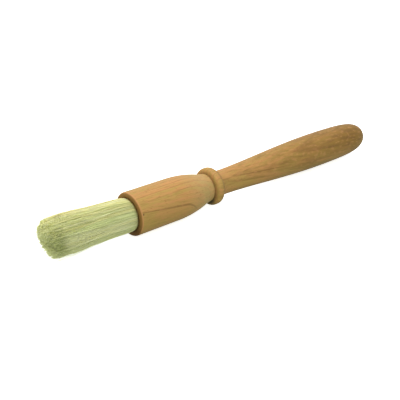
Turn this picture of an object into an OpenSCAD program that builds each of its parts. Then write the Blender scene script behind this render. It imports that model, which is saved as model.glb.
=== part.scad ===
// Round pastry brush: a turned beech handle with natural bristles set in a blind bore.
// The brush lies along X with its bristles towards -X. The origin is under the middle
// of the brush, on the surface that it lies on.
// Profiles are lists of [distance behind the mouth, radius], turned about the brush's axis.

/* [Barrel] */
// Radius of the straight barrel, the thickest part of the handle
barrel_r = 11.7; // [11.2:0.1:13]
// Length of the straight barrel, from the mouth to the shoulder
barrel_len = 28; // [24:0.5:30]
// Radius of the rounded edge round the mouth
mouth_edge_r = 1.1; // [0.5:0.1:1.5]

/* [Shoulder and neck] */
// Radius of the arc that turns the shoulder in from the barrel
shoulder_arc_r = 69; // [60:1:75]
// Steepest slope of the shoulder, in degrees
shoulder_slope = 16; // [13:0.5:16.5]
// How much the slope eases off towards the cove, in degrees
neck_ease = 4; // [2:0.5:8]
// Distance from the mouth to the cove that ends the neck
cove_from = 51; // [50:0.1:52]
// Radius of the cove
cove_r = 4; // [2:0.5:6]
// Slope of the lip that the cove ends in, in degrees
lip_slope = 3; // [0:1:12]

/* [Bead] */
// Radius of the bead's rim
bead_r = 10.65; // [9.6:0.05:11.2]
// Half of the bead's width
bead_half_w = 2.8; // [2:0.1:3]
// How square the bead's section is: 2 is an ellipse, and more is squarer
bead_power = 2.7; // [2:0.1:4]
// Width of the groove between the neck's lip and the bead
groove_w = 0.8; // [0.6:0.1:1.4]
// Depth of the groove below the lip
groove_depth = 0.6; // [0.2:0.1:0.9]

/* [Grip] */
// Radius of the waist behind the bead, the thinnest part of the handle
waist_r = 7.1; // [6.4:0.05:7.2]
// Distance from the mouth to the waist
waist_at = 63; // [62.5:0.5:66]
// Radius of the grip at its fullest
grip_r = 10.55; // [9.5:0.05:11]
// Distance from the mouth to the fullest part of the grip
grip_at = 146; // [135:1:155]
// How blunt the butt is: the length of its end's control arm
butt_arm = 9.9; // [6:0.1:10.5]
// Length of the whole handle, from the mouth to the butt
handle_len = 190; // [185:1:210]

/* [Bore] */
// Radius of the blind bore that the bristles are set in
bore_r = 8.8; // [8.7:0.1:9.6]
// Depth of the bore
bore_depth = 24; // [22:1:30]
// Width of the broken edge round the bore's mouth
bore_edge = 0.2; // [0.1:0.1:0.4]

/* [Bristles] */
// How far the longest bristles stand out of the mouth
bristle_out = 48; // [40:1:60]
// Radius of the tuft where it leaves the mouth
tuft_mouth_r = 8.4; // [8:0.1:8.6]
// Radius of the tuft where it is widest, near the tip
tuft_tip_r = 10; // [9.5:0.1:11]
// Length of the rounded tip
tip_len = 5; // [4:0.5:12]
// How blunt the tip is: 2 is an ellipse, and more is squarer
tip_power = 2.8; // [2:0.1:4]
// Share of the tuft's radius that the core bristles fill
core_share = 0.6; // [0.4:0.05:0.75]

/* [Setting] */
// Radius of the knot of roots inside the bore
knot_r = 8.1; // [7.8:0.1:8.4]
// Diameter of the thread that ties the roots together
thread_d = 0.8; // [0.6:0.1:1]
// Number of turns of the thread
thread_turns = 4; // [3:1:5]
// Distance from the mouth to the first turn of the thread
thread_at = 11; // [10.5:0.5:12]
// Length of the resin block that seals the root ends
resin_len = 5; // [4:0.5:6]
// Thickness of the glue under the resin block
glue_under = 1.2; // [0.8:0.1:1.5]
// Distance from the mouth to the glue's edge in the bore
glue_from = 8; // [6:0.5:9]

/* [Hidden] */

$fn = 96;
curve_steps = 24;
arc_steps = 12;

total_len = bristle_out + handle_len;
mouth_x = bristle_out - total_len / 2;

// The neck's arc reaches from the shoulder to the cove, whatever the slopes are
shoulder = arc_run([barrel_len, barrel_r], 0, shoulder_arc_r, -shoulder_slope);
shoulder_end = shoulder[len(shoulder) - 1];
cove_slope = shoulder_slope - neck_ease;
neck_arc_r = (cove_from - shoulder_end[0]) / (sin(shoulder_slope) - sin(cove_slope));
neck = arc_run(shoulder_end, -shoulder_slope, neck_arc_r, neck_ease);
cove = arc_run(neck[len(neck) - 1], -cove_slope, cove_r, cove_slope + lip_slope);
lip = cove[len(cove) - 1];

// The bead sits right behind the groove, on a root as thick as the groove's floor
groove_r = lip[1] - groove_depth;
bead_at = lip[0] + groove_w + bead_half_w;

// Control arms of the two grip curves, as shares of their lengths
grip_front_arm = 0.245;
grip_swell_arm = 0.38;
grip_rear_arm = 0.8;

knot_end = bore_depth - glue_under - resin_len;
thread_pitch = thread_d * 0.95;
thread_len = thread_pitch * (thread_turns - 1) + thread_d;
tied_r = knot_r - thread_d;

wood = [0.76, 0.59, 0.37];
blonde = [0.80, 0.81, 0.56];
blonde_inner = [0.74, 0.75, 0.50];
waxed_thread = [0.85, 0.82, 0.74];
amber = [0.66, 0.45, 0.18];
glue = [0.88, 0.84, 0.70];

// Points of an arc that starts at p with a heading in degrees and turns by sweep
function arc_run(p, heading, r, sweep) =
  let (side = sign(sweep))
  [
    for (i = [0 : arc_steps])
      let (a = heading + sweep * i / arc_steps)
      [
        p[0] + side * r * (sin(a) - sin(heading)),
        p[1] - side * r * (cos(a) - cos(heading))
      ]
  ];

// Points of a cubic curve with control points a, b, c and d
function curve(a, b, c, d) =
  [
    for (i = [0 : curve_steps])
      let (t = i / curve_steps, u = 1 - t)
      a * u ^ 3 + b * 3 * u ^ 2 * t + c * 3 * u * t ^ 2 + d * t ^ 3
  ];

// Points of a half superellipse standing on the profile, from its front to its back
function half_round(at, half_w, root_r, top_r, power) =
  [
    for (i = [0 : curve_steps])
      let (
        side = -cos(180 * i / curve_steps),
        rise = (1 - abs(side) ^ power) ^ (1 / power)
      )
      [at + half_w * side, root_r + (top_r - root_r) * rise]
  ];

// Half of the tip's superellipse from its rim to share, where 1 is its middle
function tip_points(share_r) =
  [
    for (i = [0 : arc_steps])
      let (
        rim = tuft_tip_r,
        r = rim - (rim - share_r) * (1 - cos(90 * i / arc_steps)),
        rise = (1 - (r / rim) ^ tip_power) ^ (1 / tip_power)
      )
      [-(bristle_out - tip_len) - tip_len * rise, r]
  ];

// Turns a profile about the brush's axis and lays it along X
module turned(profile) {
  along_axis()
    rotate_extrude()
      polygon([for (p = profile) [p[1], p[0]]]);
}

// Lays what is built up Z from the mouth along the brush's axis
module along_axis() {
  translate([mouth_x, 0, barrel_r])
    rotate([0, 90, 0])
      children();
}

// A cylinder on the brush's axis, from one distance behind the mouth to another
module axial(from, to, r_from, r_to) {
  along_axis()
    translate([0, 0, from])
      cylinder(h = to - from, r1 = r_from, r2 = r_to);
}

handle_profile = concat(
  [[0, 0]],
  arc_run([0, barrel_r - mouth_edge_r], 90, mouth_edge_r, -90),
  shoulder,
  neck,
  cove,
  half_round(bead_at, bead_half_w, groove_r, bead_r, bead_power),
  curve(
    [bead_at + bead_half_w, groove_r],
    [bead_at + bead_half_w + groove_w, groove_r],
    [waist_at - groove_w, waist_r],
    [waist_at, waist_r]
  ),
  curve(
    [waist_at, waist_r],
    [waist_at + (grip_at - waist_at) * grip_front_arm, waist_r],
    [grip_at - (grip_at - waist_at) * grip_swell_arm, grip_r],
    [grip_at, grip_r]
  ),
  curve(
    [grip_at, grip_r],
    [grip_at + (handle_len - grip_at) * grip_rear_arm, grip_r],
    [handle_len, butt_arm],
    [handle_len, 0]
  )
);

// The turned handle with its blind bore
module handle() {
  color(wood)
    difference() {
      turned(handle_profile);
      axial(-bore_edge, bore_depth, bore_r, bore_r);
      axial(-bore_edge, bore_edge, bore_r + bore_edge * 2, bore_r);
    }
}

// The bristles in the middle of the knot, from the resin to the tip
module bristle_core() {
  color(blonde_inner)
    turned(concat(
      [[knot_end, 0], [knot_end, tied_r * core_share], [0, tied_r * core_share]],
      tip_inner_edge(),
      tip_cap()
    ));
}

// The core's side meets the tip here
function tip_inner_edge() = [tip_points(tuft_tip_r * core_share)[arc_steps]];

// The middle of the tip, from the core's side to the axis
function tip_cap() =
  [
    for (i = [1 : arc_steps])
      let (
        r = tuft_tip_r * core_share * cos(90 * i / arc_steps),
        rise = (1 - (r / tuft_tip_r) ^ tip_power) ^ (1 / tip_power)
      )
      [-(bristle_out - tip_len) - tip_len * rise, i == arc_steps ? 0 : r]
  ];

// The outer bristles, which spread a little towards the tip
module bristle_jacket() {
  color(blonde)
    turned(concat(
      [
        [0, tied_r * core_share],
        [knot_end, tied_r * core_share],
        [knot_end, knot_r],
        [thread_at + thread_len, knot_r],
        [thread_at + thread_len, tied_r],
        [thread_at, tied_r],
        [thread_at, knot_r],
        [glue_from, knot_r],
        [0, tuft_mouth_r]
      ],
      tip_points(tuft_tip_r * core_share)
    ));
}

// Turns of waxed thread, pressed together, that tie the roots
module root_binding() {
  color(waxed_thread)
    along_axis()
      rotate_extrude()
        for (i = [0 : thread_turns - 1])
          translate([tied_r + thread_d / 2, thread_at + thread_d / 2 + i * thread_pitch])
            circle(d = thread_d, $fn = 24);
}

// The block of hardened resin that seals the root ends
module root_resin() {
  color(amber)
    axial(knot_end, knot_end + resin_len, knot_r, knot_r);
}

// The glue between the knot and the bore, closed under the resin block
module setting_glue() {
  color(glue)
    difference() {
      axial(glue_from, bore_depth, bore_r, bore_r);
      axial(glue_from - 1, knot_end + resin_len, knot_r, knot_r);
    }
}

handle();
bristle_core();
bristle_jacket();
root_binding();
root_resin();
setting_glue();
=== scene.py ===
"""Looks of the round pastry brush: a turned beech handle and a tuft of separate bristles.

Shapes are worked out in millimetres along the brush's own axis, where s is the distance
behind the mouth (negative in the tuft) and u, v are the offsets to +Y and +Z. brush_point()
takes them to the frame, in metres. Materials read the frame, so their lengths are in metres.
"""
import math

import bpy
import numpy as np
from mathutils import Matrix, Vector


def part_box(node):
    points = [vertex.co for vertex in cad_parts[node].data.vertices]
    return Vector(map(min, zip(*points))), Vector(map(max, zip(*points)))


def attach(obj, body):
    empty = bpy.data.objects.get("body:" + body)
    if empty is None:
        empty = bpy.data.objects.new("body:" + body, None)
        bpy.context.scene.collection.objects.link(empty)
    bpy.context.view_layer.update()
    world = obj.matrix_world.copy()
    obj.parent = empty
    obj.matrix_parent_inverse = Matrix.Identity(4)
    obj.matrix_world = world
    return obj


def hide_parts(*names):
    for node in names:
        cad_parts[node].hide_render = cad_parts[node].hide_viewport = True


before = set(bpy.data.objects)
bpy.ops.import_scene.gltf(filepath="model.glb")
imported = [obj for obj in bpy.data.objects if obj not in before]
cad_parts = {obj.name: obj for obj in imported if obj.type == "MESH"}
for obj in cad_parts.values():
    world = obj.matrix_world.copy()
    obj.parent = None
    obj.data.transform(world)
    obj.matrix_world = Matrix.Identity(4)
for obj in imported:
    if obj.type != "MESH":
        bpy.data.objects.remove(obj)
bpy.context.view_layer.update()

MM = 0.001
WOOD_LOW, WOOD_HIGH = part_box("handle")
RESIN_LOW, RESIN_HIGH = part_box("root_resin")
TIED_LOW, TIED_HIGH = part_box("root_binding")
TUFT_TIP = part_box("bristle_core")[0]

MOUTH_X = WOOD_LOW[0]
AXIS_Z = (WOOD_LOW[2] + WOOD_HIGH[2]) / 2
FLOOR_Z = WOOD_LOW[2]
BARREL_R = (WOOD_HIGH[2] - WOOD_LOW[2]) / 2 / MM
BORE_R, BORE_DEPTH, BORE_EDGE = 8.8, 24.0, 0.2
TUFT_MOUTH_R = 8.4
GOLDEN_ANGLE = math.pi * (3 - math.sqrt(5))

# Where along its length a bristle has points, as shares from the mouth to its tip. Those in
# the middle of the tuft hardly show, so they have fewer
FINE_STEPS = np.array([0.02, 0.05, 0.14, 0.26, 0.40, 0.54, 0.68, 0.80, 0.91, 1.0])
COARSE_STEPS = np.array([0.03, 0.30, 0.55, 0.80, 1.0])


def from_mouth(x):
    """Distance behind the mouth, in millimetres, of a place on the frame's X axis."""
    return (x - MOUTH_X) / MM


def brush_point(s, u, v):
    """A point of the brush, in metres in the frame."""
    return np.stack([MOUTH_X + s * MM, u * MM, AXIS_Z + v * MM], axis=-1)


def progress(x, start, end):
    """How far x is on its way from start to end: 0 before it and 1 past it."""
    return np.clip((x - start) / (end - start), 0, 1)


def hump(x, middle, width):
    """A smooth hump of height 1 round a middle."""
    return np.exp(-(((x - middle) / width) ** 2))


# ---------------------------------------------------------------- meshes


def mesh_object(name, points, *face_groups):
    """An object with the given points, and one array of faces for each number of corners."""
    mesh = bpy.data.meshes.new(name)
    corners = np.concatenate([faces.ravel() for faces in face_groups]).astype(np.int32)
    sizes = np.concatenate([np.full(len(faces), faces.shape[1]) for faces in face_groups])
    mesh.vertices.add(len(points))
    mesh.vertices.foreach_set("co", points.astype(np.float32).ravel())
    mesh.loops.add(len(corners))
    mesh.loops.foreach_set("vertex_index", corners)
    mesh.polygons.add(len(sizes))
    starts = np.concatenate([[0], np.cumsum(sizes)[:-1]]).astype(np.int32)
    mesh.polygons.foreach_set("loop_start", starts)
    mesh.polygons.foreach_set("use_smooth", np.ones(len(sizes), dtype=bool))
    mesh.update(calc_edges=True)
    mesh.validate()
    piece = bpy.data.objects.new(name, mesh)
    bpy.context.scene.collection.objects.link(piece)
    return piece


def vertex_values(piece, name, values):
    """A number for each point of a piece, which its material reads by name."""
    layer = piece.data.attributes.new(name, "FLOAT", "POINT")
    layer.data.foreach_set("value", np.asarray(values, dtype=np.float32))


def stands_for(piece, slot, material, *nodes):
    """Hands a new piece its material, its body and the CAD nodes that it replaces."""
    piece.data.materials.append(material)
    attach(piece, "root")
    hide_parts(*nodes)


# ---------------------------------------------------------------- node trees


def start_material(name):
    """A new material, its node tree and the Principled shader in it."""
    material = bpy.data.materials.new(name)
    material.use_nodes = True
    tree = material.node_tree
    shader = next(n for n in tree.nodes if n.type == "BSDF_PRINCIPLED")
    return material, tree, shader


def feed(tree, socket, value):
    """Links value to a socket if it is one, or else sets the socket to it."""
    if isinstance(value, bpy.types.NodeSocket):
        tree.links.new(value, socket)
    else:
        socket.default_value = value


def maths(tree, operation, a, b=0.0, c=0.0):
    """One Math node, and its output."""
    n = tree.nodes.new("ShaderNodeMath")
    n.operation = operation
    for socket, value in zip(n.inputs, (a, b, c)):
        feed(tree, socket, value)
    return n.outputs[0]


def times(tree, first, *others):
    """The product of two or more values."""
    for other in others:
        first = maths(tree, "MULTIPLY", first, other)
    return first


def ramp(tree, value, low, high, to_low=0.0, to_high=1.0):
    """A number that eases from to_low to to_high as value goes from low to high."""
    n = tree.nodes.new("ShaderNodeMapRange")
    n.interpolation_type = "SMOOTHSTEP"
    for socket, number in zip(n.inputs, (value, low, high, to_low, to_high)):
        feed(tree, socket, number)
    return n.outputs[0]


def blend(tree, factor, a, b):
    """One colour Mix node, and its output."""
    n = tree.nodes.new("ShaderNodeMix")
    n.data_type = "RGBA"
    feed(tree, n.inputs[0], factor)
    feed(tree, n.inputs[6], a)
    feed(tree, n.inputs[7], b)
    return n.outputs[2]


def layered(tree, base, layers):
    """A base colour under layers of [cover, colour], the last one on top."""
    for cover, colour in layers:
        base = blend(tree, cover, base, colour)
    return base


def stretched(tree, point, scale):
    """Texture coordinates: a point, in metres, times a scale for each axis."""
    n = tree.nodes.new("ShaderNodeVectorMath")
    n.operation = "MULTIPLY"
    feed(tree, n.inputs[0], point)
    n.inputs[1].default_value = scale
    return n.outputs[0]


def noise(tree, point, detail=2.0, roughness=0.5):
    """A noise texture's value, with one unit of point as its grain."""
    n = tree.nodes.new("ShaderNodeTexNoise")
    feed(tree, n.inputs["Vector"], point)
    n.inputs["Scale"].default_value = 1.0
    n.inputs["Detail"].default_value = detail
    n.inputs["Roughness"].default_value = roughness
    return n.outputs[0]


def object_point(tree):
    """The point of the piece in its own frame, which is the CAD's."""
    return tree.nodes.new("ShaderNodeTexCoord").outputs["Object"]


def parted(tree, vector):
    """The X, Y and Z of a vector."""
    n = tree.nodes.new("ShaderNodeSeparateXYZ")
    feed(tree, n.inputs[0], vector)
    return n.outputs[0], n.outputs[1], n.outputs[2]


def attribute(tree, name):
    """A number that the mesh carries at each point."""
    n = tree.nodes.new("ShaderNodeAttribute")
    n.attribute_name = name
    return n.outputs["Fac"]


def bump(tree, height, strength, distance):
    """A normal from a height, with its strength and its depth in metres."""
    n = tree.nodes.new("ShaderNodeBump")
    n.inputs["Strength"].default_value = strength
    n.inputs["Distance"].default_value = distance
    feed(tree, n.inputs["Height"], height)
    return n.outputs[0]


# ---------------------------------------------------------------- materials


def leaning(tree, x, y, z):
    """The height and the point that the wood is read at: its fibres fall towards the butt."""
    lean, level_x = 0.10, MOUTH_X + 20 * MM  # no lean at level_x
    drop = maths(tree, "MULTIPLY_ADD", x, lean, -lean * level_x)
    height = maths(tree, "ADD", z, drop)
    n = tree.nodes.new("ShaderNodeCombineXYZ")
    for socket, value in zip(n.inputs, (x, y, height)):
        feed(tree, socket, value)
    return height, n.outputs[0]


def growth_rings(tree, y, height, point, drift, in_grip):
    """How far a place is through its growth ring, and how much late wood shows there.

    The rings lie round a pith behind the blank. The one just under the barrel's side is left
    to barrel_seam, and late wood is faint in the grip.
    """
    pith_y, pith_z = 40 * MM, AXIS_Z + 3.5 * MM
    seam_ring_r, ring_pitch, drift_by = 51.1 * MM, 2.4 * MM, 1.6 * MM
    off_y = maths(tree, "SUBTRACT", y, pith_y)
    off_z = maths(tree, "SUBTRACT", height, pith_z)
    squares = maths(tree, "ADD", times(tree, off_y, off_y), times(tree, off_z, off_z))
    plain_radius = maths(tree, "SQRT", squares)
    centred_drift = maths(tree, "SUBTRACT", drift, 0.5)
    radius = maths(tree, "MULTIPLY_ADD", centred_drift, drift_by, plain_radius)
    turns = maths(tree, "DIVIDE", maths(tree, "SUBTRACT", radius, seam_ring_r), ring_pitch)
    ring = maths(tree, "FRACT", turns)
    strength = noise(tree, stretched(tree, point, (35, 160, 160)), detail=1.0)
    off_seam = maths(tree, "ABSOLUTE", maths(tree, "SUBTRACT", plain_radius, seam_ring_r))
    late_wood = times(
        tree,
        ramp(tree, ring, 0.80, 0.96),
        ramp(tree, ring, 1.0, 0.97),
        ramp(tree, strength, 0.34, 0.62, 0.4, 1.0),
        ramp(tree, off_seam, 0.9 * MM, 1.4 * MM),
        maths(tree, "MULTIPLY_ADD", in_grip, -0.75, 1.0),
    )
    return ring, late_wood


def barrel_seam(tree, behind, z, near, wander):
    """A seam of late wood on the barrel's near side, and the duller wood under it.

    It falls steadily from the mouth, then bends down in a hook, and it widens on its way.
    """
    start_z, drop = AXIS_Z + 4.55 * MM, 0.135
    hook_from, hook_bend = 29 * MM, 55.0  # the bend is per metre
    narrow, wide = 0.36 * MM, 0.75 * MM
    above = maths(tree, "SUBTRACT", z, start_z)
    above = maths(tree, "MULTIPLY_ADD", behind, drop, above)
    past_hook = maths(tree, "MAXIMUM", maths(tree, "SUBTRACT", behind, hook_from), 0.0)
    above = maths(tree, "ADD", above, times(tree, past_hook, past_hook, hook_bend))
    above = maths(tree, "ADD", above, wander)
    half_w = ramp(tree, behind, 5 * MM, 33 * MM, narrow, wide)
    off = maths(tree, "ABSOLUTE", maths(tree, "DIVIDE", above, half_w))
    present = times(tree, near, ramp(tree, behind, 39 * MM, 34 * MM))
    seam = times(tree, ramp(tree, off, 1.2, 0.2), present)
    under = times(tree, ramp(tree, above, 0.2 * MM, -0.4 * MM), present)
    return seam, under


def grip_seam(tree, behind, off_axis, near, run, height, drop, half_w):
    """A softer seam on the near side, in millimetres: it starts at a height and falls."""
    start, end = run
    fade_in, fade_out = 12, 24
    level = maths(tree, "MULTIPLY_ADD", behind, drop, off_axis)
    off = maths(tree, "SUBTRACT", level, (height + drop * start) * MM)
    return times(
        tree,
        ramp(tree, maths(tree, "ABSOLUTE", off), half_w * MM, half_w * 0.2 * MM),
        ramp(tree, behind, start * MM, (start + fade_in) * MM),
        ramp(tree, behind, end * MM, (end - fade_out) * MM),
        near,
    )


def ray_flecks(tree, point):
    """Rays show as short dark dashes along the grain, in some of a texture's cells."""
    cells = tree.nodes.new("ShaderNodeTexVoronoi")
    feed(tree, cells.inputs["Vector"], stretched(tree, point, (420, 2200, 2200)))
    cells.inputs["Scale"].default_value = 1.0
    cell_tone = tree.nodes.new("ShaderNodeSeparateColor")
    feed(tree, cell_tone.inputs[0], cells.outputs["Color"])
    dash = ramp(tree, cells.outputs["Distance"], 0.36, 0.12)
    return times(tree, dash, ramp(tree, cell_tone.outputs[0], 0.6, 0.95))


def pin_knot(tree):
    """A small round knot on the barrel's near side, at the mouth's rim."""
    turn, behind_mouth = math.radians(17), 1.2
    outer_r, core_r = 0.60 * MM, 0.20 * MM
    y, z = -BARREL_R * math.cos(turn), BARREL_R * math.sin(turn)
    away = tree.nodes.new("ShaderNodeVectorMath")
    away.operation = "DISTANCE"
    feed(tree, away.inputs[0], object_point(tree))
    away.inputs[1].default_value = (MOUTH_X + behind_mouth * MM, y * MM, AXIS_Z + z * MM)
    return ramp(tree, away.outputs["Value"], outer_r, core_r)


def beech():
    """Oiled beech: rings, fibres, streaks, ray flecks, seams, handling and dirt, and painted
    shade in its hollows, underneath, under the tuft and towards the butt.
    """
    material, tree, shader = start_material("oiled_beech")
    x, y, z = parted(tree, object_point(tree))
    height, point = leaning(tree, x, y, z)
    behind = maths(tree, "SUBTRACT", x, MOUTH_X)
    near = ramp(tree, y, 2 * MM, -2 * MM)
    in_grip = ramp(tree, x, MOUTH_X + 50 * MM, MOUTH_X + 62 * MM)
    at_mouth = ramp(tree, x, MOUTH_X + 4 * MM, MOUTH_X + 2 * MM)

    # The grain's large features
    drift = noise(tree, stretched(tree, point, (26, 90, 90)), detail=1.0)
    wander = times(tree, maths(tree, "SUBTRACT", drift, 0.5), 1.0 * MM)
    ring, late_wood = growth_rings(tree, y, height, point, drift, in_grip)
    seam, under_seam = barrel_seam(tree, behind, z, near, wander)
    off_axis = maths(tree, "ADD", maths(tree, "SUBTRACT", z, AXIS_Z), wander)
    place = tree, behind, off_axis, near
    first_seam = grip_seam(*place, run=(66, 120), height=4.3, drop=0.075, half_w=0.6)
    second_seam = grip_seam(*place, run=(112, 172), height=7.1, drop=0.085, half_w=1.5)

    # Its small ones, all drawn out along the fibres
    patches = noise(tree, stretched(tree, point, (36, 150, 150)), detail=3.0)
    fibres = noise(tree, stretched(tree, point, (110, 1900, 1900)), detail=3.0, roughness=0.65)
    streaks = noise(tree, stretched(tree, point, (26, 620, 620)), detail=3.0)
    mottle = noise(tree, stretched(tree, point, (75, 420, 420)), detail=3.0)
    specks = noise(tree, stretched(tree, point, (300, 620, 620)), detail=1.0)
    fleck = ray_flecks(tree, point)

    # Fibres that are cut across are rougher, and rosier where the mouth's rim is rounded
    normal = tree.nodes.new("ShaderNodeNewGeometry").outputs["Normal"]
    across = maths(tree, "ABSOLUTE", parted(tree, normal)[0])
    rim = times(tree, ramp(tree, across, 0.1, 0.5), at_mouth)
    end_grain = ramp(tree, across, 0.25, 0.95)

    # Handling brings out dark streaks in the grip and leaves blotches towards the butt
    ageing_and_falloff = attribute(tree, "ageing_and_falloff")
    grip_streak = times(tree, ramp(tree, streaks, 0.50, 0.68, 0.0, 0.40), in_grip)
    blotch = times(tree, ramp(tree, mottle, 0.45, 0.66, 0.0, 0.62), ageing_and_falloff)

    tan = (0.440, 0.265, 0.070, 1)
    blush = (0.495, 0.247, 0.078, 1)
    olive = (0.345, 0.235, 0.052, 1)
    brown = (0.210, 0.105, 0.026, 1)
    rosy = (0.470, 0.225, 0.080, 1)
    rust = (0.270, 0.110, 0.030, 1)
    umber = (0.150, 0.072, 0.012, 1)
    aged_and_shaded = (0.198, 0.100, 0.005, 1)
    pale = (0.500, 0.370, 0.155, 1)
    dark_brown = (0.160, 0.085, 0.014, 1)
    knot = (0.085, 0.034, 0.012, 1)
    # The colours of dirt and painted shade, away from the mouth and at it
    grime_and_shade = (0.055, 0.034, 0.007, 1)
    mouth_grime_and_shade = (0.095, 0.036, 0.001, 1)
    warm = maths(tree, "MULTIPLY_ADD", ramp(tree, ring, 0.25, 0.75), 0.16, patches)
    clean_wood = blend(tree, ramp(tree, warm, 0.46, 0.68), tan, blush)
    colour = layered(tree, clean_wood, [
        (ramp(tree, streaks, 0.42, 0.68, 0.0, 0.50), olive),
        (grip_streak, brown),
        (ramp(tree, fibres, 0.46, 0.72, 0.0, 0.40), brown),
        (times(tree, late_wood, 0.65), brown),
        (times(tree, under_seam, 0.22), olive),
        (times(tree, seam, 0.68), brown),
        (times(tree, first_seam, 0.68), brown),
        # Handling darkens the grip, and painted shade darkens it further where the key light
        # falls off towards the butt
        (times(tree, ageing_and_falloff, 0.92), aged_and_shaded),
        # The neck is made paler towards the lip
        (times(tree, attribute(tree, "neck_paling"), 0.45), pale),
        (rim, rosy),
        (ramp(tree, specks, 0.52, 0.70, 0.0, 0.42), rosy),
        (times(tree, fleck, 0.75), rust),
        (blotch, umber),
        (times(tree, second_seam, 0.42), umber),
        (times(tree, attribute(tree, "cut_face"), 0.85), dark_brown),
        (times(tree, pin_knot(tree), 0.85), knot),
        # Dirt, with painted shade in the hollows, underneath and in the tuft's shadow at the
        # mouth
        (attribute(tree, "painted_shade_and_dirt"), blend(tree, at_mouth, grime_and_shade, mouth_grime_and_shade)),
    ])
    feed(tree, shader.inputs["Base Color"], colour)

    dull = maths(tree, "MULTIPLY_ADD", fibres, 0.20, 0.40)
    dull = maths(tree, "MULTIPLY_ADD", end_grain, 0.25, dull)
    feed(tree, shader.inputs["Roughness"], dull)
    shader.inputs["Specular IOR Level"].default_value = 0.25
    relief = maths(tree, "MULTIPLY_ADD", fleck, -0.6, fibres)
    feed(tree, shader.inputs["Normal"], bump(tree, relief, 0.2, 0.1 * MM))
    return material


def bristle():
    """Bleached natural bristle, each its own tone: stained and painted with shade at the root,
    painted with shade at the tip, and painted lighter on the tuft's low side.
    """
    material, tree, shader = start_material("natural_bristle")
    point = object_point(tree)
    tone = attribute(tree, "tone")
    warmth = attribute(tree, "warmth")
    along = attribute(tree, "along")
    mottle = noise(tree, stretched(tree, point, (260, 1100, 1100)), detail=2.0)
    shade = noise(tree, stretched(tree, point, (60, 260, 260)), detail=2.0)
    # Painted light: bristles on the tuft's low side are made paler towards the tip
    painted_low_light = times(tree, ramp(tree, along, 0.50, 0.80, 0.0, 0.90), attribute(tree, "painted_low_light"))
    # Painted shade at the tip
    tip_shade_mask = times(tree, ramp(tree, along, 0.88, 1.0, 0.0, 0.90), attribute(tree, "painted_tip_shade"))

    cream = (0.855, 0.855, 0.455, 1)
    green = (0.660, 0.740, 0.300, 1)
    straw = (0.760, 0.690, 0.280, 1)
    horn = (0.295, 0.330, 0.095, 1)
    dark_brown = (0.230, 0.145, 0.035, 1)
    colour = layered(tree, blend(tree, ramp(tree, warmth, 0.2, 0.8), green, straw), [
        (ramp(tree, tone, 0.2, 0.9), cream),
        (ramp(tree, tone, 0.3, 0.0, 0.0, 0.7), horn),
        (ramp(tree, shade, 0.5, 0.75, 0.0, 0.20), horn),
        (ramp(tree, mottle, 0.55, 0.8, 0.0, 0.30), horn),
        (painted_low_light, cream),
        (tip_shade_mask, horn),
        # The roots are glue-stained, and also painted darker as the shade at the tuft's base
        (ramp(tree, along, 0.028, 0.0), dark_brown),
    ])
    feed(tree, shader.inputs["Base Color"], colour)
    feed(tree, shader.inputs["Roughness"], maths(tree, "MULTIPLY_ADD", tone, 0.15, 0.42))
    shader.inputs["Subsurface Weight"].default_value = 0.5
    shader.inputs["Subsurface Radius"].default_value = (1.0, 1.0, 0.9)
    shader.inputs["Subsurface Scale"].default_value = 0.4 * MM
    feed(tree, shader.inputs["Normal"], bump(tree, mottle, 0.1, 0.1 * MM))
    return material


def waxed_thread():
    """Waxed cotton thread with its plies twisting round it."""
    material, tree, shader = start_material("waxed_thread")
    point = object_point(tree)
    lay = tree.nodes.new("ShaderNodeTexWave")
    lay.bands_direction = "DIAGONAL"
    feed(tree, lay.inputs["Vector"], stretched(tree, point, (1400, 1400, 1400)))
    lay.inputs["Scale"].default_value = 1.0
    lay.inputs["Distortion"].default_value = 1.5
    ply = lay.outputs["Fac"]
    colour = blend(tree, ply, (0.42, 0.36, 0.24, 1), (0.72, 0.66, 0.50, 1))
    feed(tree, shader.inputs["Base Color"], colour)
    feed(tree, shader.inputs["Roughness"], ramp(tree, ply, 0.0, 1.0, 0.75, 0.55))
    feed(tree, shader.inputs["Normal"], bump(tree, ply, 0.5, 0.1 * MM))
    return material


def cast_resin(name, clear, cloudy, roughness):
    """Set resin or glue: cloudy in places, with a faintly rippled skin."""
    material, tree, shader = start_material(name)
    point = object_point(tree)
    clouds = noise(tree, stretched(tree, point, (260, 260, 260)), detail=3.0)
    ripples = noise(tree, stretched(tree, point, (900, 900, 900)), detail=1.0)
    colour = blend(tree, ramp(tree, clouds, 0.35, 0.7), clear, cloudy)
    feed(tree, shader.inputs["Base Color"], colour)
    feed(tree, shader.inputs["Roughness"], maths(tree, "MULTIPLY_ADD", clouds, 0.2, roughness))
    feed(tree, shader.inputs["Normal"], bump(tree, ripples, 0.15, 0.2 * MM))
    return material


def paper_white():
    """The pale floor, with the faint unevenness of a paper sweep."""
    material, tree, shader = start_material("paper_white")
    point = object_point(tree)
    fibres = noise(tree, stretched(tree, point, (35, 35, 35)), detail=4.0)
    colour = blend(tree, fibres, (0.93, 0.93, 0.92, 1), (0.96, 0.96, 0.955, 1))
    feed(tree, shader.inputs["Base Color"], colour)
    feed(tree, shader.inputs["Emission Color"], colour)
    shader.inputs["Emission Strength"].default_value = 0.8
    shader.inputs["Roughness"].default_value = 0.9
    return material


# ---------------------------------------------------------------- the handle


def arc_run(start, heading, radius, sweep, steps):
    """Points of an arc from start with a heading in degrees, which turns by sweep."""
    side = math.copysign(1, sweep)
    angles = np.radians(heading + sweep * np.arange(steps + 1) / steps)
    first = math.radians(heading)
    along = start[0] + side * radius * (np.sin(angles) - math.sin(first))
    out = start[1] - side * radius * (np.cos(angles) - math.cos(first))
    return np.column_stack([along, out])


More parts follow.
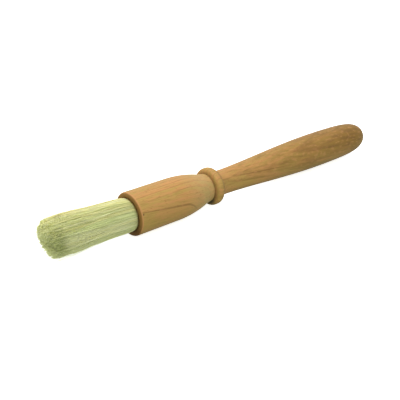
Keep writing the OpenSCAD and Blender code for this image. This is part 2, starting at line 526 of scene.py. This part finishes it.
def curve(a, b, c, d, steps):
    """Points of a cubic curve with four control points."""
    t = (np.arange(steps + 1) / steps)[:, None]
    a, b, c, d = (np.array(p, dtype=float) for p in (a, b, c, d))
    return a * (1 - t) ** 3 + b * 3 * (1 - t) ** 2 * t + c * 3 * (1 - t) * t**2 + d * t**3


def half_round(at, half_w, root_r, top_r, power, steps):
    """Points of a half superellipse standing on the outline, from its front to its back."""
    side = -np.cos(np.radians(180 * np.arange(steps + 1) / steps))
    rise = (1 - np.abs(side) ** power) ** (1 / power)
    return np.column_stack([at + half_w * side, root_r + (top_r - root_r) * rise])


def handle_outline():
    """The handle's outline as [s, radius], from the bore's floor round to the butt's middle.

    It comes with the s of the groove, and of the bead's front and back.
    """
    handle_len = from_mouth(WOOD_HIGH[0])
    barrel_len, mouth_edge_r = 28.0, 1.1
    shoulder_arc_r, shoulder_slope, neck_ease = 69.0, 16.0, 4.0
    cove_from, cove_r, lip_slope = 51.0, 4.0, 3.0
    bead_r, bead_half_w, bead_power, groove_w, groove_depth = 10.65, 2.8, 2.7, 0.8, 0.6
    waist_r, waist_at, grip_r, grip_at, butt_arm = 7.1, 63.0, 10.55, 146.0, 9.9
    grip_front_arm, grip_swell_arm, grip_rear_arm = 0.245, 0.38, 0.80

    bore = [[BORE_DEPTH, r] for r in np.linspace(0, BORE_R, 8)]
    bore += [[s, BORE_R] for s in np.linspace(BORE_DEPTH, BORE_EDGE, 16)[1:]]
    bore += [[0, BORE_R + BORE_EDGE]]
    edge = arc_run([0, BARREL_R - mouth_edge_r], 90, mouth_edge_r, -90, steps=14)
    barrel = [[s, BARREL_R] for s in np.linspace(mouth_edge_r, barrel_len, 30)[1:-1]]
    shoulder = arc_run([barrel_len, BARREL_R], 0, shoulder_arc_r, -shoulder_slope, steps=60)
    cove_slope = shoulder_slope - neck_ease
    run = cove_from - shoulder[-1][0]
    rise = math.sin(math.radians(shoulder_slope)) - math.sin(math.radians(cove_slope))
    neck = arc_run(shoulder[-1], -shoulder_slope, run / rise, neck_ease, steps=16)
    cove = arc_run(neck[-1], -cove_slope, cove_r, cove_slope + lip_slope, steps=8)
    lip = cove[-1]
    groove_r = lip[1] - groove_depth
    crisp_edge, steep_wall = [0.06, -0.10], [0.16, -groove_depth * 0.75]
    floor = lip + [crisp_edge, steep_wall, [groove_w * 0.5, -groove_depth]]
    groove_at, front = lip[0] + groove_w * 0.6, lip[0] + groove_w
    bead_at = front + bead_half_w
    bead = half_round(bead_at, bead_half_w, groove_r, bead_r, bead_power, steps=56)
    back = bead_at + bead_half_w
    waist = curve(
        [back, groove_r],
        [back + groove_w, groove_r],
        [waist_at - groove_w, waist_r],
        [waist_at, waist_r],
        steps=12,
    )
    grip_run, butt_run = grip_at - waist_at, handle_len - grip_at
    grip = curve(
        [waist_at, waist_r],
        [waist_at + grip_run * grip_front_arm, waist_r],
        [grip_at - grip_run * grip_swell_arm, grip_r],
        [grip_at, grip_r],
        steps=110,
    )
    butt = curve(
        [grip_at, grip_r],
        [grip_at + butt_run * grip_rear_arm, grip_r],
        [handle_len, butt_arm],
        [handle_len, 0],
        steps=120,
    )
    runs = [bore, edge, barrel, shoulder, neck[1:], cove[1:], floor, bead]
    runs += [waist[1:], grip[1:], butt[1:]]
    return np.concatenate(runs), (groove_at, front, back)


def turned_mesh(name, outline, around):
    """Turns an outline whose two ends are on the axis into a closed mesh.

    It comes with s, the radius and the height over the axis of each point of its rings.
    """
    s, r = outline[1:-1, 0], outline[1:-1, 1]
    angle = 2 * math.pi * np.arange(around) / around
    s, r = np.repeat(s[:, None], around, 1), np.repeat(r[:, None], around, 1)
    side, height = r * np.cos(angle), r * np.sin(angle)
    rings = brush_point(s, side, height).reshape(-1, 3)
    ends = brush_point(outline[[0, -1], 0], np.zeros(2), np.zeros(2))
    points = np.concatenate([rings, ends])
    start_pole, end_pole = len(rings), len(rings) + 1
    last = (len(s) - 1) * around
    i = np.arange(around)
    j = (i + 1) % around
    caps = np.concatenate([
        np.column_stack([np.full(around, start_pole), i, j]),
        np.column_stack([np.full(around, end_pole), last + j, last + i]),
    ])
    k = np.arange(len(s) - 1)[:, None] * around
    sides = np.stack([k + i, k + around + i, k + around + j, k + j], -1).reshape(-1, 4)
    return mesh_object(name, points, caps, sides), s.ravel(), r.ravel(), height.ravel()


def handle_dirt_and_shade(s, r, height, cut_face, marks):
    """How dark each point of the handle is made, from 0 to 1: by dirt, and by painted shade in
    its hollows, underneath and under the tuft.
    """
    groove_at, bead_front, bead_back = marks
    low = progress(height, 0, -7)
    underside = progress(height / np.maximum(r, 1), -0.5, -0.9)
    on_bead = (s > groove_at) * (s < bead_back)

    # Dirt and painted shade in the groove, on the bead's front and in the corner behind the
    # bead, the shade deeper on the low side
    dirt_and_shade = (0.32 + 0.48 * low) * hump(s, groove_at, 0.5)
    dirt_and_shade += 0.18 * progress(s, bead_front + 1.5, bead_front + 0.4) * (s > groove_at)
    dirt_and_shade += (0.46 + 0.20 * low) * hump(s, bead_back - 0.8, 1.0)

    # Painted shade on the whole underside, and the tuft's painted shadow on the low side of the
    # mouth's cut face and of its rounded edge
    dirt_and_shade += (0.34 + 0.18 * on_bead) * underside
    dirt_and_shade += 0.62 * cut_face * progress(height, -1, -7)
    dirt_and_shade += 0.55 * (r > BORE_R - 0.1) * progress(s, 1.6, 0.8) * progress(height, -5, -10)
    return np.clip(dirt_and_shade, 0, 1)


def handle_ageing_and_falloff(s, height):
    """How much each point is darkened by handling and by painted shade where the key light falls
    off towards the butt: the grip's rear most, and its low side less.
    """
    low_side = progress(height, 1.5, -2.5)
    held = hump(height, 5, 2) * progress(s, 130, 160)
    ageing_and_falloff = progress(s, 55, 185) * (1 - 0.35 * low_side) + 0.10 * held
    return np.clip(ageing_and_falloff, 0, 1)


def make_handle():
    """The turned handle, smooth enough for its curves, with its dirt, wear and painted shade."""
    outline, marks = handle_outline()
    groove_at = marks[0]
    piece, s, r, height = turned_mesh("turned_handle", outline, around=144)
    cut_face = progress(s, 0.5, 0.1) * (r > BORE_R - 0.1)
    wear_and_shade = {
        "cut_face": cut_face,
        "painted_shade_and_dirt": handle_dirt_and_shade(s, r, height, cut_face, marks),
        "ageing_and_falloff": handle_ageing_and_falloff(s, height),
        "neck_paling": progress(s, 30, 48) * (s < groove_at),
    }

    # The last two points are the middles of the bore's floor and of the butt
    ends = {"ageing_and_falloff": [0.0, 1.0]}
    for name, values in wear_and_shade.items():
        vertex_values(piece, name, np.append(values, ends.get(name, [0.0, 0.0])))
    stands_for(piece, "beech", beech(), "handle")


# ---------------------------------------------------------------- the tuft


def tuft_plan(count, share_from, share_to, seed):
    """Where bristles stand in the knot: a sunflower pattern over part of its radius."""
    rng = np.random.default_rng(seed)
    angle_spread, share_spread, least_share = 0.03, 0.012, 0.01
    i = np.arange(count) + 0.5
    share = np.sqrt(share_from**2 + (share_to**2 - share_from**2) * i / count)
    angle = i * GOLDEN_ANGLE + rng.normal(0, angle_spread, count)
    share = np.clip(share + rng.normal(0, share_spread, count), least_share, share_to)
    return rng, share, angle


def tuft_locks(count, seed):
    """The locks that bristles gather in: where each stands, and how it leans, ends and looks."""
    rng = np.random.default_rng(seed)
    i = np.arange(count) + 0.5
    share = np.sqrt(i / count)
    angle = i * GOLDEN_ANGLE + rng.normal(0, 0.15, count)
    return {
        "at": np.column_stack([share * np.cos(angle), share * np.sin(angle)]),
        "lean": rng.normal(0, 0.22, (count, 2)),
        "length": rng.normal(0, 0.35, count),
        "tone": rng.normal(0, 0.12, count),
        "warmth": rng.uniform(0, 1, count),
        "pull": rng.uniform(0.06, 0.24, count),
    }


def tuft_radius(out):
    """The tuft's radius this far out: it springs open, widens slowly and closes a little."""
    loose_r, wide_r = 9.2, 9.95
    spring_len, wide_at, widening, closing = 2.2, 36.0, 2.0, 0.07
    opened = TUFT_MOUTH_R + (loose_r - TUFT_MOUTH_R) * (1 - np.exp(-out / spring_len))
    widened = opened + (wide_r - loose_r) * np.minimum(out / wide_at, 1) ** widening
    return widened - closing * np.maximum(out - wide_at, 0)


def nearest(foot, places):
    """The place nearest to each bristle, and the way there."""
    gap = foot[:, None, :] - places[None, :, :]
    chosen = np.argmin((gap**2).sum(2), axis=1)
    return chosen, places[chosen] - foot


def bristle_lengths(rng, share, foot, lock_length, clump_length):
    """How far each bristle stands out of the mouth, so that the tip is blunt and ragged."""
    count = len(share)
    longest = -from_mouth(TUFT_TIP[0])
    off_longest, low_loss, unevenness = 0.4, 0.3, 0.45
    tip_len, tip_len_less, tip_power = 3.4, 0.6, 2.8
    short_share, out_share = 0.10, 0.09

    # A blunt tip, whose edge is rounder below than above
    height = foot[:, 1]
    rise = (1 - np.clip(share, 0, 1) ** tip_power) ** (1 / tip_power)
    length = longest - off_longest - (tip_len - tip_len_less * height) * (1 - rise)
    length += lock_length + clump_length - low_loss * np.maximum(-height, 0)

    # Some bristles are worn short, and some stand out
    length += rng.normal(0, unevenness, count)
    worn_short = rng.random(count) < short_share
    length -= worn_short * rng.uniform(0, 5, count)
    standing_out = rng.random(count) < out_share
    return length + standing_out * rng.uniform(0.3, 2.0, count)


def bristle_bends(rng, share, angle, foot, lean, outer):
    """How far each tip bends to +Y and +Z, and the size and phase of its waves.

    Some of the outer bristles cross their neighbours, and a few stray outwards.
    """
    count = len(share)
    bend = rng.normal(0, 0.28, (count, 2)) + lean
    wave = rng.normal(0, 0.09, (count, 2))
    phase = rng.uniform(0, 2 * math.pi, count)
    if outer:
        tangent = np.column_stack([-np.sin(angle), np.cos(angle)])
        crossing_share, stray_share = 0.12, 0.03
        skew = rng.normal(0, 0.5, count)
        crossing = rng.random(count) < crossing_share
        skew += crossing * rng.normal(0, 1.8, count)
        bend += tangent * skew[:, None]
        stray = rng.random(count) < stray_share
        outward = stray * rng.uniform(0.3, 1.3, count)
        bend += foot / share[:, None] * outward[:, None]
    return bend, wave, phase


def bristle_paths(rng, share, angle, locks, clumps, outer, steps):
    """Each bristle's points, from the resin to its own tip, how far along, and its lock."""
    count = len(share)
    root_s = from_mouth(RESIN_LOW[0])
    tied_s = (from_mouth(TIED_LOW[0]) + from_mouth(TIED_HIGH[0])) / 2
    knot_r = (RESIN_HIGH[2] - RESIN_LOW[2]) / 2 / MM
    root_r, tied_r = knot_r * 0.98, 7.25
    sprung, spring_len, tip_lift = 0.5, 5, 1.35
    lock_closing, clump_closing, wave_turn = 1.2, 5, 5.0
    longest = -from_mouth(TUFT_TIP[0])

    foot = np.column_stack([share * np.cos(angle), share * np.sin(angle)])
    lock, to_lock = nearest(foot, locks["at"])
    clump, to_clump = nearest(foot, clumps["at"])
    length = bristle_lengths(rng, share, foot, locks["length"][lock], clumps["length"][clump])
    bend, wave, phase = bristle_bends(rng, share, angle, foot, locks["lean"][lock], outer)

    inside = [(root_s, root_r), (tied_s, tied_r), (0.0, TUFT_MOUTH_R)]
    rows = [brush_point(np.full(count, s), *(foot.T * r)) for s, r in inside]
    for t in steps:
        out = length * t
        pull = to_lock * (locks["pull"][lock] * t**lock_closing)[:, None]
        pull += to_clump * (clumps["pull"][clump] * t**clump_closing)[:, None]
        curl = wave * np.sin(phase + wave_turn * t)[:, None] * math.sin(math.pi * min(t, 0.5))
        offset = (foot + pull) * tuft_radius(out)[:, None] + bend * t**2 + curl
        offset[:, 1] += sprung * (1 - np.exp(-out / spring_len)) + tip_lift * out / longest
        rows.append(brush_point(-out, offset[:, 0], offset[:, 1]))
    along = np.concatenate([np.zeros(len(inside)), steps])
    return np.stack(rows, 1), along, lock


def bristle_mesh(name, paths, along, thickness, sides):
    """Sweeps a thin tapering tube along every path, closed at both ends.

    It comes with how many points each tube has.
    """
    count, rings, _ = paths.shape
    taper = 0.30
    ahead = np.gradient(paths, axis=1)
    ahead /= np.linalg.norm(ahead, axis=2, keepdims=True)
    first = np.cross(ahead, [0.0, 0.0, 1.0])
    first /= np.linalg.norm(first, axis=2, keepdims=True)
    second = np.cross(ahead, first)
    angle = 2 * math.pi * np.arange(sides) / sides
    width = (thickness[:, None] * (1 - taper * along**2)[None, :])[..., None, None] * MM
    ring = first[:, :, None, :] * np.cos(angle)[:, None]
    ring = ring + second[:, :, None, :] * np.sin(angle)[:, None]
    tube = paths[:, :, None, :] + ring * width
    tip = paths[:, -1] + ahead[:, -1] * thickness[:, None] * MM
    root = paths[:, 0]
    points = np.concatenate([tube.reshape(count, -1, 3), tip[:, None], root[:, None]], axis=1)

    k = np.arange(rings - 1)[:, None] * sides
    i = np.arange(sides)
    j = (i + 1) % sides
    quads = np.stack([k + i, k + j, k + sides + j, k + sides + i], -1).reshape(-1, 4)
    last = (rings - 1) * sides
    caps = np.concatenate([
        np.stack([last + i, last + j, np.full(sides, rings * sides)], -1),
        np.stack([j, i, np.full(sides, rings * sides + 1)], -1),
    ])
    first_point = np.arange(count)[:, None, None] * points.shape[1]
    all_quads = (quads[None] + first_point).reshape(-1, 4)
    all_caps = (caps[None] + first_point).reshape(-1, 3)
    piece = mesh_object(name, points.reshape(-1, 3), all_quads, all_caps)
    per_point = np.concatenate([np.repeat(along, sides), [1.0, 0.0]])
    vertex_values(piece, "along", np.tile(per_point, count))
    unroll(piece, count, rings, sides)
    return piece, points.shape[1]


def uv_corner(across, ahead):
    """A corner of many faces, from arrays of its places across and along a bristle."""
    return np.stack(np.broadcast_arrays(across, ahead), -1)


def unroll(piece, count, rings, sides):
    """Lays every bristle flat in a cell of its own, in a UV map named OFBake."""
    cells = math.ceil(math.sqrt(count))
    i = np.arange(sides) / sides
    j = i + 1 / sides
    k = np.arange(rings - 1)[:, None] / rings
    ahead = k + 1 / rings
    side_corners = (i, k), (j, k), (j, ahead), (i, ahead)
    quads = np.stack([uv_corner(*places) for places in side_corners], 2).reshape(-1, 2)
    middle = (i + j) / 2
    top, bottom = (rings - 1) / rings, 0.0
    tip_corners = (i, top), (j, top), (middle, 1.0)
    root_corners = (j, bottom), (i, bottom), (middle, 0.02)
    tips = np.stack([uv_corner(*places) for places in tip_corners], 1)
    roots = np.stack([uv_corner(*places) for places in root_corners], 1)
    caps = np.concatenate([tips.reshape(-1, 2), roots.reshape(-1, 2)])
    cell = np.stack([np.arange(count) % cells, np.arange(count) // cells], -1)[:, None, :]
    margin, drawn = 0.06, 0.88
    spread = [
        (cell + margin + drawn * shape[None]).reshape(-1, 2) / cells
        for shape in (quads, caps)
    ]
    layer = piece.data.uv_layers.new(name="OFBake")
    layer.data.foreach_set("uv", np.concatenate(spread).astype(np.float32).ravel())


def make_bristles(name, node, count, shares, sides, outer, seed, gathers, material):
    """One group of bristles, as a piece that stands for part of the CAD tuft."""
    hair_r, hair_r_spread = 0.088, 0.010
    rng, share, angle = tuft_plan(count, *shares, seed)
    locks, clumps = gathers
    steps = FINE_STEPS if outer else COARSE_STEPS
    paths, along, lock = bristle_paths(rng, share, angle, locks, clumps, outer, steps)
    thickness = rng.normal(hair_r, hair_r_spread, count)
    piece, each = bristle_mesh(name, paths, along, thickness, sides)

    # Looks that differ by bristle: height is -1 at the tuft's lowest and 1 at its highest
    height = share * np.sin(angle)
    # Painted light: tone is raised on the tuft's low side and round its middle height; locks and
    # single bristles add random tone
    tone = 0.50 - 0.18 * height + 0.12 * hump(height, -0.05, 0.25)
    tone = tone + locks["tone"][lock] + rng.normal(0, 0.19, count)
    tone = np.clip(tone, 0, 1)
    warmth = locks["warmth"][lock] * 0.5 + rng.uniform(0, 0.5, count) + 0.15 * height
    # Painted shade at the tip, most at middle height and on the near side
    painted_tip_shade = 0.68 - 0.34 * share * np.cos(angle) - 0.62 * np.abs(height + 0.1)
    looks = {
        "tone": tone,
        "warmth": np.clip(warmth, 0, 1),
        "painted_tip_shade": np.clip(painted_tip_shade, 0.05, 1),
        # Painted light, strongest on the tuft's low side
        "painted_low_light": np.clip(0.5 - 0.9 * height, 0, 1) * np.clip(1.6 * tone, 0, 1),
    }
    for look, values in looks.items():
        vertex_values(piece, look, np.repeat(values, each))
    stands_for(piece, "bristle", material, node)


def make_tuft():
    """The whole tuft, from the middle out, in groups that share their locks and clumps."""
    gathers = tuft_locks(420, seed=11), tuft_locks(70, seed=12)
    material = bristle()

    # Name, CAD node, count, shares of the tuft's radius, sides, whether outer, and seed
    groups = [
        ("bristles_middle", "bristle_core", 2200, (0.0, 0.6), 4, False, 21),
        ("bristles_ring", "bristle_jacket", 1800, (0.6, 0.86), 4, True, 22),
        ("bristles_outside", "bristle_jacket", 1200, (0.86, 1.0), 6, True, 23),
        ("bristles_surface", "bristle_jacket", 1200, (0.90, 1.0), 6, True, 24),
    ]
    for group in groups:
        make_bristles(*group, gathers, material)


# ---------------------------------------------------------------- stage, light and camera


def make_floor():
    """A wide pale floor under the brush."""
    half_w, steps = 4.0, 8
    line = np.linspace(-half_w, half_w, steps + 1)
    points = np.array([[x, y, FLOOR_Z] for y in line for x in line])
    row = steps + 1
    corner = np.array([y * row + x for y in range(steps) for x in range(steps)])[:, None]
    floor = mesh_object("floor", points, corner + [[0, 1, row + 1, row]])
    floor.visible_diffuse = False
    floor.visible_glossy = False
    floor.data.materials.append(paper_white())


def area_light(name, place, target, size, power):
    """A soft square lamp at place that faces target."""
    lamp = bpy.data.lights.new(name, "AREA")
    lamp.energy = power
    lamp.size = size
    holder = bpy.data.objects.new(name, lamp)
    holder.location = place
    aim = np.array(target) - np.array(place)
    holder.rotation_euler = Vector(aim).to_track_quat("-Z", "Y").to_euler()
    bpy.context.scene.collection.objects.link(holder)


def make_light():
    """A bright tent, dimmer and greener below, and one large lamp above."""
    world = bpy.data.worlds.new("tent")
    world.use_nodes = True
    tree = world.node_tree
    sky = next(n for n in tree.nodes if n.type == "BACKGROUND")
    x, _, z = parted(tree, tree.nodes.new("ShaderNodeTexCoord").outputs["Generated"])

    # Its strength rises from below to the sides and on to overhead, and towards the tuft's end
    below = ramp(tree, z, -1.0, -0.2, 0.28, 0.82)
    above = ramp(tree, z, 0.0, 1.0, 0.0, 0.30)
    beside = ramp(tree, x, 0.1, -0.9, 0.0, 0.40)
    strength = maths(tree, "ADD", maths(tree, "ADD", below, above), beside)

    # Behind the floor's edge it is plain white
    seen = tree.nodes.new("ShaderNodeLightPath").outputs["Is Camera Ray"]
    feed(tree, sky.inputs["Strength"], maths(tree, "MAXIMUM", strength, seen))
    low_tint, white = (0.87, 1.0, 0.86, 1), (1.0, 1.0, 1.0, 1)
    tint = blend(tree, ramp(tree, z, -0.3, 0.3), low_tint, white)
    feed(tree, sky.inputs["Color"], blend(tree, seen, tint, white))
    bpy.context.scene.world = world
    middle = (0.0, 0.0, AXIS_Z)
    area_light("top", place=(-0.30, 0.20, 0.85), target=middle, size=0.7, power=4.0)
    bpy.context.scene.view_settings.view_transform = "Standard"


def make_camera():
    """The camera looks at the end of the handle's neck from the tuft's side, a little above."""
    azimuth, elevation = math.radians(-41.6), math.radians(24.1)
    distance, lens = 0.3826, 63.0
    aim = np.array([MOUTH_X + 45.9 * MM, -2.8 * MM, AXIS_Z - 4.6 * MM])
    back = np.array([
        math.sin(azimuth) * math.cos(elevation),
        -math.cos(azimuth) * math.cos(elevation),
        math.sin(elevation),
    ])
    data = bpy.data.cameras.new("camera")
    data.lens = lens
    data.sensor_width = 36.0
    data.clip_start = 0.01
    data.clip_end = 20.0
    camera = bpy.data.objects.new("camera", data)
    camera.location = aim + back * distance
    camera.rotation_euler = Vector(-back).to_track_quat("-Z", "Y").to_euler()
    bpy.context.scene.collection.objects.link(camera)
    bpy.context.scene.camera = camera


def dress_cad(node, material):
    """Gives a carried-over CAD node a better material."""
    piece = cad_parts[node]
    for holder in piece.material_slots:
        holder.link = "OBJECT"
        holder.material = material


make_camera()
make_light()
make_floor()
make_handle()
make_tuft()
dress_cad("root_binding", waxed_thread())
amber, cloudy_amber = (0.30, 0.13, 0.03, 1), (0.52, 0.30, 0.10, 1)
straw, cloudy_straw = (0.70, 0.60, 0.34, 1), (0.82, 0.76, 0.56, 1)
dress_cad("root_resin", cast_resin("amber_resin", amber, cloudy_amber, roughness=0.12))
dress_cad("setting_glue", cast_resin("wood_glue", straw, cloudy_straw, roughness=0.35))
